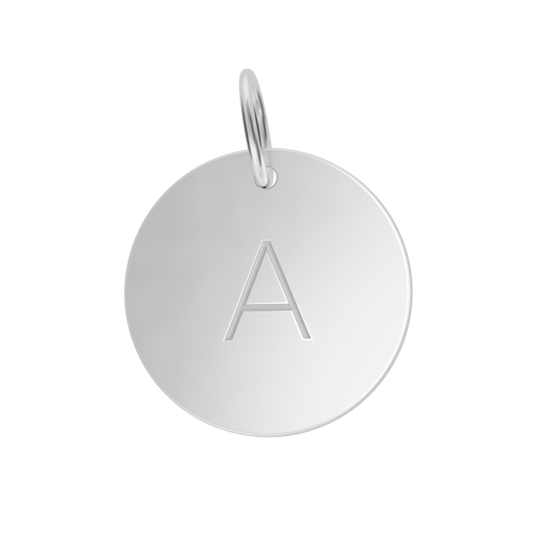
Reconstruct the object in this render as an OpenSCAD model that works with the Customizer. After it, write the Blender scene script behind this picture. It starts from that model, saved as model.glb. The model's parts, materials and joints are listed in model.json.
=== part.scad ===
// Initial pendant: a round engraved disc that hangs in a round wire jump ring.
// The front face looks towards -Y. The origin is the inside of the ring at its top,
// where a chain runs through.

/* [Disc] */
// Diameter of the disc
disc_d = 15; // [12:0.5:20]
// Thickness of the disc
disc_t = 1; // [0.8:0.05:1.4]
// Radius of the rounded rim edges
rim_r = 0.2; // [0.05:0.01:0.3]

/* [Hanging hole] */
// Diameter of the hole that takes the ring
hole_d = 1.2; // [1.05:0.05:1.5]
// Metal left between the hole and the rim
hole_land = 0.95; // [0.7:0.05:1.3]
// Width of the broken edge round the hole
hole_break = 0.05; // [0.02:0.01:0.1]

/* [Engraved letter] */
// Height of the letter
letter_h = 5.1; // [4:0.1:6]
// Width of the letter over its feet
letter_w = 4.5; // [3.5:0.1:5.5]
// Width of each cut stroke
stroke_w = 0.35; // [0.25:0.01:0.5]
// Height of the crossbar's middle above the feet
bar_rise = 1.65; // [1.2:0.05:2.2]
// Height of the letter's middle above the disc's middle
letter_rise = 0.1; // [-0.5:0.05:0.5]
// Depth of the cut
cut_depth = 0.2; // [0.1:0.01:0.3]

/* [Jump ring] */
// Diameter of the ring's wire
wire_d = 0.66; // [0.5:0.02:0.8]
// Inner diameter of the ring
ring_inner_d = 5; // [4.4:0.1:6]
// Lean of the ring to the left of upright, in degrees
ring_lean = 8.4; // [0:0.1:15]

/* [Clearance] */
// Gap between the wire and the wall of the hole
wire_gap = 0.04; // [0.02:0.01:0.1]
// Side of the hole that the wire lies on, in degrees left of straight down
wire_side = 20; // [0:1:90]

/* [Hidden] */
$fn = 128;
// Length that a cutter runs past the face it cuts
past = 0.5;

disc_r = disc_d / 2;
hole_r = hole_d / 2;
wire_r = wire_d / 2;
ring_r = ring_inner_d / 2 + wire_r;
// Height of the hole's middle above the disc's middle
hole_rise = disc_r - hole_land - hole_r;
// Distance from the hole's middle to the wire's middle where it passes through
wire_off = hole_r - wire_r - wire_gap;

// Middle of the ring, seen from the origin inside its top
ring_x = ring_inner_d / 2 * sin(ring_lean);
ring_z = -ring_inner_d / 2 * cos(ring_lean);
// Middle of the hole: from the ring's middle down to the wire, then back to the axis
hole_x = ring_x + ring_r * sin(ring_lean) + wire_off * sin(wire_side);
hole_z = ring_z - ring_r * cos(ring_lean) + wire_off * cos(wire_side);
disc_z = hole_z - hole_rise;

// Half of the disc's cross section, from its middle out to the rounded rim
module disc_half_section() {
    square_h = disc_t - 2 * rim_r;
    translate([0, -disc_t / 2]) square([disc_r - rim_r, disc_t]);
    translate([0, -square_h / 2]) square([disc_r, square_h]);
    for (side = [-1, 1])
        translate([disc_r - rim_r, side * square_h / 2]) circle(r = rim_r);
}

// Hole along Z with its edges broken on both faces
module hole_cutter() {
    cylinder(h = disc_t + 2 * past, r = hole_r, center = true);
    for (flip = [0, 1])
        mirror([0, 0, flip])
            translate([0, 0, disc_t / 2 - hole_break])
                cylinder(h = hole_break + past, r1 = hole_r, r2 = hole_r + hole_break + past);
}

// Plain capital letter A: two slanted strokes with a flat top, and a crossbar
module letter_outline() {
    half_w = letter_w / 2;
    // Sideways width of a slanted stroke, so that its true width is stroke_w
    slant_w = stroke_w * sqrt(1 + pow((half_w - stroke_w / 2) / letter_h, 2));
    // Sideways travel of the outer edge from the top down to the feet
    travel = half_w - slant_w / 2;
    bar_half = half_w - slant_w / 2 - travel * bar_rise / letter_h;
    translate([0, -letter_h / 2]) {
        for (side = [0, 1])
            mirror([side, 0])
                polygon([[half_w - slant_w, 0], [half_w, 0],
                         [slant_w / 2, letter_h], [-slant_w / 2, letter_h]]);
        translate([-bar_half, bar_rise - stroke_w / 2]) square([2 * bar_half, stroke_w]);
    }
}

// Places what is drawn with its front face on +Z so that the front looks towards -Y
module stand_up() {
    rotate([90, 0, 0]) children();
}

module initial_disc() {
    color("silver")
        translate([hole_x, 0, disc_z])
            stand_up()
                difference() {
                    rotate_extrude() disc_half_section();
                    translate([0, hole_rise, 0]) hole_cutter();
                    translate([0, letter_rise, disc_t / 2 - cut_depth])
                        linear_extrude(height = cut_depth + past) letter_outline();
                }
}

module jump_ring() {
    color("gainsboro")
        translate([ring_x, 0, ring_z])
            rotate([0, 90 - ring_lean, 0])
                rotate_extrude() translate([ring_r, 0]) circle(r = wire_r);
}

initial_disc();
jump_ring();
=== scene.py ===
import json
import math
from collections import namedtuple

import bpy
from mathutils import Matrix, Vector
from mathutils.geometry import tessellate_polygon


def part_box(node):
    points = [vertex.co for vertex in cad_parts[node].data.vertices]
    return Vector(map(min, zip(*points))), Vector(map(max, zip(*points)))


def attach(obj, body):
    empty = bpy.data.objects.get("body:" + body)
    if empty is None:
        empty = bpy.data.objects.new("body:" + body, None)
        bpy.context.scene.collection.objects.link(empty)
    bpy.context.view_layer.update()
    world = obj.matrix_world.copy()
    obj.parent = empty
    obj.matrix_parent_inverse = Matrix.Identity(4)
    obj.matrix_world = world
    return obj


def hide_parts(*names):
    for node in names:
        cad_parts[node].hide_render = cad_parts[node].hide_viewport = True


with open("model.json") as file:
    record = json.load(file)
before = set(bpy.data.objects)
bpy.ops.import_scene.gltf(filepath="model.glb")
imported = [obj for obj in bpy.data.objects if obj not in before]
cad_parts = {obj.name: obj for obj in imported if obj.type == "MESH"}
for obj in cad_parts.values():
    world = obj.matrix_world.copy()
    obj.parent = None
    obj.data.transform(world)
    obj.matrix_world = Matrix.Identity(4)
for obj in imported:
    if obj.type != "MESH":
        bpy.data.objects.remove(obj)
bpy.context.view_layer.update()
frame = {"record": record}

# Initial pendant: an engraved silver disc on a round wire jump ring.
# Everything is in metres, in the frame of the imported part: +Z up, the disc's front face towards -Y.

MM = 0.001

# Disc, from the frame, and its rounded rim
disc_low, disc_high = (Vector(corner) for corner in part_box("initial_disc"))
DISC_MID = (disc_low + disc_high) / 2
DISC_R = (disc_high.x - disc_low.x) / 2
DISC_T = disc_high.y - disc_low.y
RIM_R = 0.2 * MM
DISC_STEPS = 288
RIM_STEPS = 8

# Hole that the ring passes through, on the hinge's axis. Its rounded edge is wider than the solid's broken
# edge and ends on the face in the same circle, so its bore is a little tighter
HINGE = frame["record"]["behaviour"]["joints"][0]
HOLE_MID = Vector(HINGE["pos_m"])
HOLE_R = 0.57 * MM
HOLE_EDGE_R = 0.08 * MM
HOLE_STEPS = 96
HOLE_EDGE_STEPS = 5

# Engraved letter
LETTER_H = 5.1 * MM
LETTER_W = 4.5 * MM
STROKE_W = 0.35 * MM
BAR_RISE = 1.65 * MM
LETTER_RISE = 0.1 * MM

# Shoulder beside each cut, with a painted highlight in its brighter silver, then its wall, then the hollow
# floor of the cut
SHOULDER_W = 0.085 * MM
SHOULDER_TILT = math.radians(2)
SHOULDER_STEPS = 2
WALL_W = 0.01 * MM
WALL_DEPTH = 0.1 * MM
CUT_FLOOR_TILT = math.radians(35)
CUT_FLOOR_STEPS = 5
# Half of the flat strip along the middle of that floor
CUT_FLOOR_FLAT = 0.055 * MM

# Jump ring, from the frame, and its wire
ring_low, ring_high = (Vector(corner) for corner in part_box("jump_ring"))
RING_MID = (ring_low + ring_high) / 2
WIRE_R = 0.33 * MM
RING_R = (ring_high.y - ring_low.y) / 2 - WIRE_R
RING_AXIS = Vector(frame["record"]["mounts"][0]["axis"]).normalized()
RING_STEPS = 224
WIRE_STEPS = 48

# Finishes of the silver: how much light it gives back, its roughness, how its hairlines are squeezed along X,
# Y and Z, and their depth in metres
Finish = namedtuple("Finish", "base roughness hairline_squeeze hairline_depth")
FACE_FINISH = Finish(0.86, 0.2, (14, 14, 0.25), 0.4e-6)
# Darker base than the face: painted shade in the recess of the cut. The higher roughness is the cut's own
# finish
CUT_SHADE_FINISH = Finish(0.66, 0.42, (9, 9, 9), 2e-6)
# Brighter base than the face: a painted highlight along the letter's outline. The lower roughness is the
# shoulders' own smoother finish
EDGE_HIGHLIGHT_FINISH = Finish(1.0, 0.12, (9, 9, 9), 0.4e-6)
WIRE_FINISH = Finish(0.93, 0.13, (6, 6, 6), 0.3e-6)

# Places of the disc's finishes among its materials: faces and rim, cut with its painted shade, and the
# shoulders beside the cut with their painted highlight
FACE_SLOT = 0
CUT_SHADE_SLOT = 1
EDGE_HIGHLIGHT_SLOT = 2

# Noise that varies the silver: features per millimetre and detail, of soft patches and of hairlines
PATCHES_SCALE = 0.6
PATCHES_DETAIL = 3.0
HAIRLINES_SCALE = 1.0
HAIRLINES_DETAIL = 4.0
# Share of the hairlines in the roughness, beside the patches, and the range of that mix which counts
HAIRLINES_SHARE = 0.6
MIX_LOW = 0.5
MIX_HIGH = 1.1
# Shares of the finish's own base and roughness that the noise reaches
DARKEST_SHARE = 0.975
SMOOTHEST_SHARE = 0.92
ROUGHEST_SHARE = 1.1

# Camera, at the photograph's angle to the disc in degrees, with a long lens
CAMERA_AZIMUTH = 7
CAMERA_ELEVATION = -3
CAMERA_ROLL = 0.8
CAMERA_DISTANCE = 300 * MM
CAMERA_NEAR = 1 * MM
CAMERA_FAR = 100.0
SENSOR_W = 36
# Width that the picture shows at the disc's distance
FRAME_WIDTH = 27.79 * MM
# What the middle of the picture looks at, seen from the middle of the disc
AIM_RIGHT = 0.006 * MM
AIM_UP = 1.272 * MM

# Soft round patches of the studio. In degrees: azimuth from the front towards +X, elevation, the radius that
# has the full strength, and the radius where the patch ends
Patch = namedtuple("Patch", "azimuth elevation inner outer strength")
STUDIO_LEVEL = 0.65
STUDIO_DARKEST = 0.02
BRIGHT_PATCHES = (
    Patch(0, -75, 20, 60, 0.13),
    Patch(-40, -50, 12, 38, 0.22),
    Patch(20, 80, 10, 50, 0.22),
    Patch(28, -44, 6, 20, 0.22),
)
# Dark patches, which give the wire its dark lines. The fill lights make up for them on the disc, apart from
# the front one, which lies behind the soft box
DARK_LEFT = Patch(-86, -10, 14, 44, 0.56)
DARK_RIGHT = Patch(47, 3, 10, 34, 0.52)
DARK_LOW_RIGHT = Patch(92, -24, 12, 36, 0.45)
DARK_TOP = Patch(16, 34, 8, 30, 0.33)
DARK_FRONT = Patch(-7, 3, 10, 26, 0.15)
DARK_PATCHES = (DARK_LEFT, DARK_RIGHT, DARK_LOW_RIGHT, DARK_TOP, DARK_FRONT)

# Power per area of a light whose strength of 1 looks as bright as the world's
LIGHT_POWER = math.pi
# Distance of the fill lights, and a bright patch that one of them adds on the disc alone
FILL_AWAY = 200 * MM
BRIGHT_RIGHT = Patch(45, 5, 32, 55, 0.41)

# Square soft box in front of the face
BOX_AWAY = 60 * MM
BOX_SIZE = 60 * MM
BOX_GAIN = 1.045
# Its grade, over millimetres right of and above the disc's middle where the camera sees it mirrored
Ramp = namedtuple("Ramp", "start end from_value to_value")
# Dim part, which brightens to the right in two steps along leaning lines
DIM_LEAN = -0.45
DIM_LEFT = Ramp(-5.5, -2.0, 0.515, 0.62)
DIM_RIGHT = Ramp(-1.0, 4.0, 0, 0.16)
# Bright part, right of an upright line and below a slanted one. They meet in a soft corner, and it fades at
# its right
BRIGHT_START = -1.0
BRIGHT_DROP = 1.5
BRIGHT_TOP_SOFTENING = 0.75
BRIGHT_CORNER = 1.2
BRIGHT_EDGE = Ramp(-1.6, 1.6, 0.0, 1.0)
BRIGHT_FADE = Ramp(4.0, 7.5, 1.01, 0.93)
# Dimmer spot at the upper right, by the distance from its middle
SPOT_MID = (4.5, 3.5, 0)
SPOT_DIMMING = Ramp(4.0, 0.5, 0.0, 0.08)

# Floor, below the disc
FLOOR_REACH = 600 * MM
FLOOR_DROP = 30 * MM
FLOOR_BASE = 1.0
FLOOR_DARKEST = 0.98
FLOOR_ROUGHNESS = 0.6
FLOOR_NOISE_SCALE = 0.4
FLOOR_NOISE_DETAIL = 3.0


class Skin:
    """Points, faces, corner normals and material slots of one mesh in the making."""

    def __init__(self):
        self.points = []
        self.faces = []
        self.normals = []
        self.slots = []

    def loop(self, points):
        first = len(self.points)
        self.points.extend(points)
        return list(range(first, first + len(points)))

    def face(self, corners, normals, slot):
        self.faces.append(corners)
        self.normals.extend(normals)
        self.slots.append(slot)

    def build(self, name, materials):
        mesh = bpy.data.meshes.new(name)
        mesh.from_pydata(self.points, [], self.faces)
        for material in materials:
            mesh.materials.append(material)
        for polygon, slot in zip(mesh.polygons, self.slots):
            polygon.material_index = slot
            polygon.use_smooth = True
        mesh.normals_split_custom_set([tuple(normal) for normal in self.normals])
        piece = bpy.data.objects.new(name, mesh)
        bpy.context.scene.collection.objects.link(piece)
        return piece


def ribbon(skin, outer, inner, outer_normal, inner_normal, slot):
    """Faces between two closed loops that run anticlockwise seen from the front.

    With the outer loop round the inner one, the faces look to the front. The normal of edge i at its start is
    normal(i, 0), and at its end normal(i, 1).
    """
    count = len(outer)
    for i in range(count):
        j = (i + 1) % count
        corners = (outer[i], outer[j], inner[j], inner[i])
        normals = (outer_normal(i, 0), outer_normal(i, 1), inner_normal(i, 1), inner_normal(i, 0))
        skin.face(corners, normals, slot)


def on_front(right, up, depth):
    """A point that far right of and above the disc's middle, and that deep under its front face."""
    return Vector((DISC_MID.x + right, depth - DISC_T / 2, DISC_MID.z + up))


def circle_directions(count):
    """Unit vectors in even steps round a circle, anticlockwise."""
    turns = (2 * math.pi * i / count for i in range(count))
    return [Vector((math.cos(turn), math.sin(turn))) for turn in turns]


def even_steps(first, last, count):
    """The first value, the last one, and those in between in that many even steps."""
    return [first + (last - first) * step / count for step in range(count + 1)]


def round_profile(radius, edge_r, outward, steps):
    """Rows of an edge turned about an axis along Y, from the front face to the back one.

    A row is the radius and the place along Y, then the normal's parts away from the axis and along Y.
    """
    front = []
    for tilt in even_steps(0, math.pi / 2, steps):
        reach = radius - outward * edge_r * (1 - math.sin(tilt))
        along = -DISC_T / 2 + edge_r * (1 - math.cos(tilt))
        front.append((reach, along, outward * math.sin(tilt), -math.cos(tilt)))
    back = [(reach, -along, sideways, -forward) for reach, along, sideways, forward in reversed(front)]
    return front + back


def turned_edge(skin, middle, rows, outward, count):
    """Loops of a turned edge, joined front to back. Returns the loops on the front and back faces."""
    directions = circle_directions(count)
    loops = []
    for reach, along, _, _ in rows:
        points = [Vector((middle.x + reach * d.x, along, middle.z + reach * d.y)) for d in directions]
        loops.append(skin.loop(points))

    def normal_of(row):
        _, _, sideways, forward = row

        def normal(i, end):
            d = directions[(i + end) % count]
            return Vector((sideways * d.x, forward, sideways * d.y))
        return normal

    for k in range(len(rows) - 1):
        front = (loops[k], normal_of(rows[k]))
        back = (loops[k + 1], normal_of(rows[k + 1]))
        outer, inner = (back, front) if outward > 0 else (front, back)
        ribbon(skin, outer[0], inner[0], outer[1], inner[1], FACE_SLOT)
    return loops[0], loops[-1]


def fill_flat(skin, loops, side, slot):
    """Triangles over the flat region inside the first loop and outside the others.

    They look to the front for side -1, and to the back for side 1.
    """
    indices = [index for loop in loops for index in loop]
    outlines = [[Vector((skin.points[i].x, skin.points[i].z, 0)) for i in loop] for loop in loops]
    normal = Vector((0, side, 0))
    for triangle in tessellate_polygon(outlines):
        a, b, c = (indices[corner] for corner in triangle)
        across = (skin.points[b] - skin.points[a]).cross(skin.points[c] - skin.points[a])
        if across.dot(normal) < 0:
            b, c = c, b
        skin.face((a, b, c), (normal, normal, normal), slot)


def letter_loops():
    """Outline of a plain capital A and of the island inside it, seen from the disc's middle."""
    half_w = LETTER_W / 2
    slant = (half_w - STROKE_W / 2) / LETTER_H
    slant_w = STROKE_W * math.sqrt(1 + slant ** 2)
    fall = (half_w - slant_w / 2) / LETTER_H

    def inner_half(height):
        return half_w - slant_w - fall * height

    under = BAR_RISE - STROKE_W / 2
    over = BAR_RISE + STROKE_W / 2
    peak = (half_w - slant_w) / fall
    outline = [(-half_w, 0), (slant_w - half_w, 0), (-inner_half(under), under), (inner_half(under), under),
               (half_w - slant_w, 0), (half_w, 0), (slant_w / 2, LETTER_H), (-slant_w / 2, LETTER_H)]
    island = [(-inner_half(over), over), (inner_half(over), over), (0, peak)]
    lift = Vector((0, LETTER_RISE - LETTER_H / 2))
    return [Vector(p) + lift for p in outline], [Vector(p) + lift for p in island]


def edge_normals(corners):
    """Outward normal of each edge of an anticlockwise outline."""
    normals = []
    for here, there in zip(corners, corners[1:] + corners[:1]):
        along = (there - here).normalized()
        normals.append(Vector((along.y, -along.x)))
    return normals


def offset_loop(corners, distance):
    """The outline with every edge moved outwards by the distance, and its corners kept sharp."""
    normals = edge_normals(corners)
    moved = []
    for i, corner in enumerate(corners):
        before, after = normals[i - 1], normals[i]
        moved.append(corner + (before + after) * distance / (1 + before.dot(after)))
    return moved


def curved_strips(tilts, slot):
    """Strips of a curve: the tilt at the upper and at the lower side of each, and its slot."""
    return [(above, below, slot) for above, below in zip(tilts, tilts[1:])]


def cut_profile():
    """Places from the face down to the floor of the cut, and the strips that join them.

    A place is its distance from the cut's edge (outside is positive) and its depth.
    """
    places = []
    shoulder_r = SHOULDER_W / math.sin(SHOULDER_TILT)
    shoulder_tilts = even_steps(0, SHOULDER_TILT, SHOULDER_STEPS)
    for tilt in shoulder_tilts:
        places.append((SHOULDER_W - shoulder_r * math.sin(tilt), shoulder_r * (1 - math.cos(tilt))))
    lip_depth = places[-1][1]
    wall_tilt = math.atan2(WALL_DEPTH - lip_depth, WALL_W)
    reach = STROKE_W / 2 - WALL_W
    floor_r = reach / math.sin(CUT_FLOOR_TILT)
    floor_tilts = even_steps(CUT_FLOOR_TILT, math.asin(CUT_FLOOR_FLAT / floor_r), CUT_FLOOR_STEPS)
    for tilt in floor_tilts:
        inward = WALL_W + reach - floor_r * math.sin(tilt)
        depth = WALL_DEPTH + floor_r * (math.cos(tilt) - math.cos(CUT_FLOOR_TILT))
        places.append((-inward, depth))
    wall = [(wall_tilt, wall_tilt, CUT_SHADE_SLOT)]
    return places, curved_strips(shoulder_tilts, EDGE_HIGHLIGHT_SLOT) + wall + curved_strips(floor_tilts, CUT_SHADE_SLOT)


def cut_edge(skin, corners, is_island):
    """Shoulder, wall and floor along one outline of the letter. Returns the first and the last loop."""
    into = 1 if is_island else -1
    downhill = [normal * into for normal in edge_normals(corners)]

    def normal_of(tilt):
        def normal(i, _):
            sideways = downhill[i] * math.sin(tilt)
            return Vector((sideways.x, -math.cos(tilt), sideways.y))
        return normal

    places, strips = cut_profile()
    loops = []
    for distance, depth in places:
        outline = offset_loop(corners, -into * distance)
        loops.append(skin.loop([on_front(p.x, p.y, depth) for p in outline]))
    for k, (tilt_above, tilt_below, slot) in enumerate(strips):
        above = (loops[k], normal_of(tilt_above))
        below = (loops[k + 1], normal_of(tilt_below))
        outer, inner = (below, above) if is_island else (above, below)
        ribbon(skin, outer[0], inner[0], outer[1], inner[1], slot)
    return loops[0], loops[-1]


def make_disc(materials):
    skin = Skin()
    rim = round_profile(DISC_R, RIM_R, 1, RIM_STEPS)
    front_rim, back_rim = turned_edge(skin, DISC_MID, rim, 1, DISC_STEPS)
    hole = round_profile(HOLE_R, HOLE_EDGE_R, -1, HOLE_EDGE_STEPS)
    front_hole, back_hole = turned_edge(skin, HOLE_MID, hole, -1, HOLE_STEPS)
    outline, island = letter_loops()
    outline_face, outline_floor = cut_edge(skin, outline, False)
    island_face, island_floor = cut_edge(skin, island, True)
    fill_flat(skin, [front_rim, front_hole, outline_face], -1, FACE_SLOT)
    fill_flat(skin, [island_face], -1, FACE_SLOT)
    fill_flat(skin, [outline_floor, island_floor], -1, CUT_SHADE_SLOT)
    fill_flat(skin, [back_rim, back_hole], 1, FACE_SLOT)
    disc = skin.build("engraved_disc", materials)
    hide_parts("initial_disc")
    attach(disc, "pendant")
    return disc


def make_ring(material):
    skin = Skin()
    deep_axis = Vector((0, 1, 0))
    long_axis = RING_AXIS.cross(deep_axis).normalized()
    loops = []
    normals = []
    for direction in circle_directions(RING_STEPS):
        out = long_axis * direction.x + deep_axis * direction.y
        around = [out * d.x + RING_AXIS * d.y for d in circle_directions(WIRE_STEPS)]
        loops.append(skin.loop([RING_MID + out * RING_R + normal * WIRE_R for normal in around]))
        normals.append(around)
    for i in range(RING_STEPS):
        j = (i + 1) % RING_STEPS
        for k in range(WIRE_STEPS):
            m = (k + 1) % WIRE_STEPS
            corners = (loops[i][k], loops[i][m], loops[j][m], loops[j][k])
            skin.face(corners, (normals[i][k], normals[i][m], normals[j][m], normals[j][k]), 0)
    ring = skin.build("wire_ring", [material])
    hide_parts("jump_ring")
    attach(ring, "ring")


class Nodes:
    """Short calls for adding and linking the nodes of one material, light or world."""

    def __init__(self, tree):
        self.tree = tree
        tree.nodes.clear()

    def add(self, kind, inputs=None, **settings):
        """A new node. Each input is linked if its value is a socket of another node, and otherwise set."""
        node = self.tree.nodes.new(kind)
        for name, value in settings.items():
            setattr(node, name, value)
        for name, value in (inputs or {}).items():
            if isinstance(value, bpy.types.NodeSocket):
                self.tree.links.new(value, node.inputs[name])
            else:
                node.inputs[name].default_value = value
        return node

    def math(self, operation, *values):
        return self.add("ShaderNodeMath", dict(enumerate(values)), operation=operation).outputs[0]

    def vector_math(self, operation, *vectors):
        return self.add("ShaderNodeVectorMath", dict(enumerate(vectors)), operation=operation)

    def ramp(self, value, start, end, from_value, to_value):
        """A soft step from one value at the start to the other at the end."""
        inputs = {"Value": value, "From Min": start, "From Max": end}
        inputs.update({"To Min": from_value, "To Max": to_value})
        return self.add("ShaderNodeMapRange", inputs, interpolation_type="SMOOTHSTEP").outputs["Result"]

    def millimetres(self, squeeze=(1, 1, 1)):
        """Place on the object in millimetres, times the squeeze along each axis."""
        place = self.add("ShaderNodeTexCoord").outputs["Object"]
        scale = Vector(squeeze) / MM
        return self.add("ShaderNodeMapping", {"Vector": place, "Scale": scale}).outputs["Vector"]

    def noise(self, vector, scale, detail):
        inputs = {"Vector": vector, "Scale": scale, "Detail": detail}
        return self.add("ShaderNodeTexNoise", inputs).outputs["Fac"]

    def grey(self, level):
        return self.add("ShaderNodeCombineColor", {"Red": level, "Green": level, "Blue": level}).outputs[0]


def silver(name, finish):
    """Silver with soft patches, fine hairlines and a little variation of its brightness."""
    material = bpy.data.materials.new(name)
    material.use_nodes = True
    nodes = Nodes(material.node_tree)
    patches = nodes.noise(nodes.millimetres(), PATCHES_SCALE, PATCHES_DETAIL)
    hairlines = nodes.noise(nodes.millimetres(finish.hairline_squeeze), HAIRLINES_SCALE, HAIRLINES_DETAIL)
    level = nodes.ramp(patches, 0.0, 1.0, finish.base * DARKEST_SHARE, finish.base)
    mix = nodes.math("MULTIPLY_ADD", hairlines, HAIRLINES_SHARE, patches)
    smoothest = finish.roughness * SMOOTHEST_SHARE
    roughest = finish.roughness * ROUGHEST_SHARE
    roughness = nodes.ramp(mix, MIX_LOW, MIX_HIGH, smoothest, roughest)
    scratches = {"Height": hairlines, "Strength": 1.0, "Distance": finish.hairline_depth}
    bump = nodes.add("ShaderNodeBump", scratches).outputs["Normal"]
    looks = {"Base Color": nodes.grey(level), "Metallic": 1.0, "Roughness": roughness, "Normal": bump}
    shader = nodes.add("ShaderNodeBsdfPrincipled", looks)
    nodes.add("ShaderNodeOutputMaterial", {"Surface": shader.outputs[0]})
    return material


def direction_from(azimuth, elevation):
    """Unit vector from the object towards an azimuth and elevation in degrees."""
    turn = math.radians(azimuth)
    rise = math.radians(elevation)
    return Vector((math.sin(turn) * math.cos(rise), -math.cos(turn) * math.cos(rise), math.sin(rise)))


def upright_axes(back):
    """Right, up and back of an upright camera or light that looks along the opposite of back."""
    right = Vector((0, 0, 1)).cross(back).normalized()
    return right, back.cross(right), back


def placed(middle, axes):
    """Matrix of an object at that place with those axes."""
    return Matrix.Translation(middle) @ Matrix(axes).transposed().to_4x4()


def patch_light(nodes, direction, patch):
    """Strength of a soft round patch in a direction."""
    middle = direction_from(patch.azimuth, patch.elevation)
    match = nodes.vector_math("DOT_PRODUCT", direction, middle).outputs["Value"]
    at_end, at_full = (math.cos(math.radians(radius)) for radius in (patch.outer, patch.inner))
    return nodes.ramp(match, at_end, at_full, 0.0, patch.strength)


def make_world():
    """Pure white behind the object for the camera, and a soft studio of broad patches for all else."""
    world = bpy.data.worlds.new("studio")
    world.use_nodes = True
    bpy.context.scene.world = world
    nodes = Nodes(world.node_tree)
    direction = nodes.add("ShaderNodeTexCoord").outputs["Generated"]
    total = STUDIO_LEVEL
    for patch in BRIGHT_PATCHES:
        total = nodes.math("ADD", patch_light(nodes, direction, patch), total)
    for patch in DARK_PATCHES:
        total = nodes.math("SUBTRACT", total, patch_light(nodes, direction, patch))
    total = nodes.math("MAXIMUM", total, STUDIO_DARKEST)
    studio = nodes.add("ShaderNodeBackground", {"Color": (1, 1, 1, 1), "Strength": total})
    white = nodes.add("ShaderNodeBackground", {"Color": (1, 1, 1, 1), "Strength": 1.0})
    seen = nodes.add("ShaderNodeLightPath").outputs["Is Camera Ray"]
    mix = nodes.add("ShaderNodeMixShader", {0: seen, 1: studio.outputs[0], 2: white.outputs[0]})
    nodes.add("ShaderNodeOutputWorld", {"Surface": mix.outputs[0]})


def make_light(name, direction, away, size, disc, build_strength):
    """Square area light that stands in a direction from the disc, looks back at it and lights it alone.

    build_strength adds the nodes that say how bright each place of the light is.
    """
    data = bpy.data.lights.new(name, "AREA")
    data.shape = "SQUARE"
    data.size = size
    data.energy = LIGHT_POWER * size ** 2
    data.use_nodes = True
    nodes = Nodes(data.node_tree)
    glow = nodes.add("ShaderNodeEmission", {"Color": (1, 1, 1, 1), "Strength": build_strength(nodes)})
    nodes.add("ShaderNodeOutputLight", {"Surface": glow.outputs[0]})
    light = bpy.data.objects.new(name, data)
    bpy.context.scene.collection.objects.link(light)
    light.matrix_world = placed(DISC_MID + direction * away, upright_axes(direction))
    light.visible_camera = False
    lit = bpy.data.collections.new(name + "_lights")
    lit.objects.link(disc)
    light.light_linking.receiver_collection = lit


def make_soft_box(disc):
    """The graded soft box that the flat front face mirrors. It adds to the studio's own light behind it."""
    mirrored = direction_from(-CAMERA_AZIMUTH, -CAMERA_ELEVATION)
    spread = 1 + BOX_AWAY / CAMERA_DISTANCE
    behind = STUDIO_LEVEL - DARK_FRONT.strength

    def strength(nodes):
        place = nodes.millimetres((1 / spread, 1 / spread, 1 / spread))
        split = nodes.add("ShaderNodeSeparateXYZ", {"Vector": place})
        across = split.outputs["X"]
        height = split.outputs["Y"]
        leaning = nodes.math("MULTIPLY_ADD", height, DIM_LEAN, across)
        dim = nodes.math("ADD", nodes.ramp(leaning, *DIM_LEFT), nodes.ramp(leaning, *DIM_RIGHT))
        bright = nodes.ramp(across, *BRIGHT_FADE)
        beside = nodes.math("SUBTRACT", across, BRIGHT_START)
        drop = nodes.math("SUBTRACT", nodes.math("SUBTRACT", across, height), BRIGHT_DROP)
        below = nodes.math("MULTIPLY", drop, BRIGHT_TOP_SOFTENING)
        inside = nodes.math("SMOOTH_MIN", beside, below, BRIGHT_CORNER)
        share = nodes.ramp(inside, *BRIGHT_EDGE)
        level = nodes.math("MULTIPLY_ADD", share, nodes.math("SUBTRACT", bright, dim), dim)
        from_spot = nodes.vector_math("DISTANCE", place, SPOT_MID).outputs["Value"]
        level = nodes.math("SUBTRACT", level, nodes.ramp(from_spot, *SPOT_DIMMING))
        return nodes.math("SUBTRACT", nodes.math("MULTIPLY", level, BOX_GAIN), behind)

    make_light("face_light", mirrored, BOX_AWAY, BOX_SIZE, disc, strength)


def make_fill(name, patches, disc):
    """Distant soft light that adds patches on the disc alone. Its middle is the first one's, the widest."""
    widest = patches[0]

    def strength(nodes):
        place = nodes.add("ShaderNodeNewGeometry").outputs["Position"]
        apart = nodes.vector_math("SUBTRACT", place, DISC_MID).outputs["Vector"]
        direction = nodes.vector_math("NORMALIZE", apart).outputs["Vector"]
        total = 0.0
        for patch in patches:
            total = nodes.math("ADD", patch_light(nodes, direction, patch), total)
        return total

    size = 2 * FILL_AWAY * math.tan(math.radians(widest.outer))
    make_light(name, direction_from(widest.azimuth, widest.elevation), FILL_AWAY, size, disc, strength)


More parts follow.
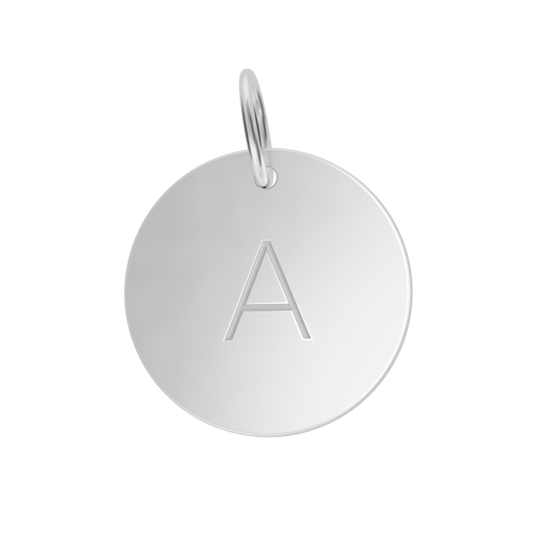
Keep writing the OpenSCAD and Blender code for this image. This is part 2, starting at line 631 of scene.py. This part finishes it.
def make_floor():
    """Plain pale floor with a faint grade, which the silver doesn't mirror."""
    z = disc_low.z - FLOOR_DROP
    corners = [(-FLOOR_REACH, -FLOOR_REACH, z), (FLOOR_REACH, -FLOOR_REACH, z),
               (FLOOR_REACH, FLOOR_REACH, z), (-FLOOR_REACH, FLOOR_REACH, z)]
    mesh = bpy.data.meshes.new("floor")
    mesh.from_pydata(corners, [], [(0, 1, 2, 3)])
    floor = bpy.data.objects.new("floor", mesh)
    bpy.context.scene.collection.objects.link(floor)
    material = bpy.data.materials.new("pale_floor")
    material.use_nodes = True
    nodes = Nodes(material.node_tree)
    grade = nodes.noise(nodes.millimetres(), FLOOR_NOISE_SCALE, FLOOR_NOISE_DETAIL)
    colour = nodes.grey(nodes.ramp(grade, 0.0, 1.0, FLOOR_BASE * FLOOR_DARKEST, FLOOR_BASE))
    shader = nodes.add("ShaderNodeBsdfPrincipled", {"Base Color": colour, "Roughness": FLOOR_ROUGHNESS})
    nodes.add("ShaderNodeOutputMaterial", {"Surface": shader.outputs[0]})
    mesh.materials.append(material)
    floor.visible_glossy = False


def make_camera():
    axes = upright_axes(direction_from(CAMERA_AZIMUTH, CAMERA_ELEVATION))
    right, up, back = axes
    aim = DISC_MID + right * AIM_RIGHT + up * AIM_UP
    data = bpy.data.cameras.new("camera")
    data.sensor_width = SENSOR_W
    data.lens = SENSOR_W * CAMERA_DISTANCE / FRAME_WIDTH
    data.clip_start = CAMERA_NEAR
    data.clip_end = CAMERA_FAR
    camera = bpy.data.objects.new("camera", data)
    bpy.context.scene.collection.objects.link(camera)
    roll = Matrix.Rotation(math.radians(-CAMERA_ROLL), 4, "Z")
    camera.matrix_world = placed(aim + back * CAMERA_DISTANCE, axes) @ roll
    bpy.context.scene.camera = camera


bpy.context.scene.view_settings.view_transform = "Standard"
make_camera()
make_world()
make_floor()
face_silver = silver("face_silver", FACE_FINISH)
# Walls and floor of the cut: silver darkened as painted shade
cut_shade_silver = silver("cut_shade_silver", CUT_SHADE_FINISH)
# Shoulders beside the cut: silver with a painted highlight
edge_highlight_silver = silver("edge_highlight_silver", EDGE_HIGHLIGHT_FINISH)
wire_silver = silver("wire_silver", WIRE_FINISH)
disc = make_disc([face_silver, cut_shade_silver, edge_highlight_silver])
make_ring(wire_silver)
make_soft_box(disc)
make_fill("left_fill", (DARK_LEFT,), disc)
make_fill("right_fill", (BRIGHT_RIGHT, DARK_RIGHT), disc)
make_fill("low_right_fill", (DARK_LOW_RIGHT,), disc)
make_fill("top_fill", (DARK_TOP,), disc)
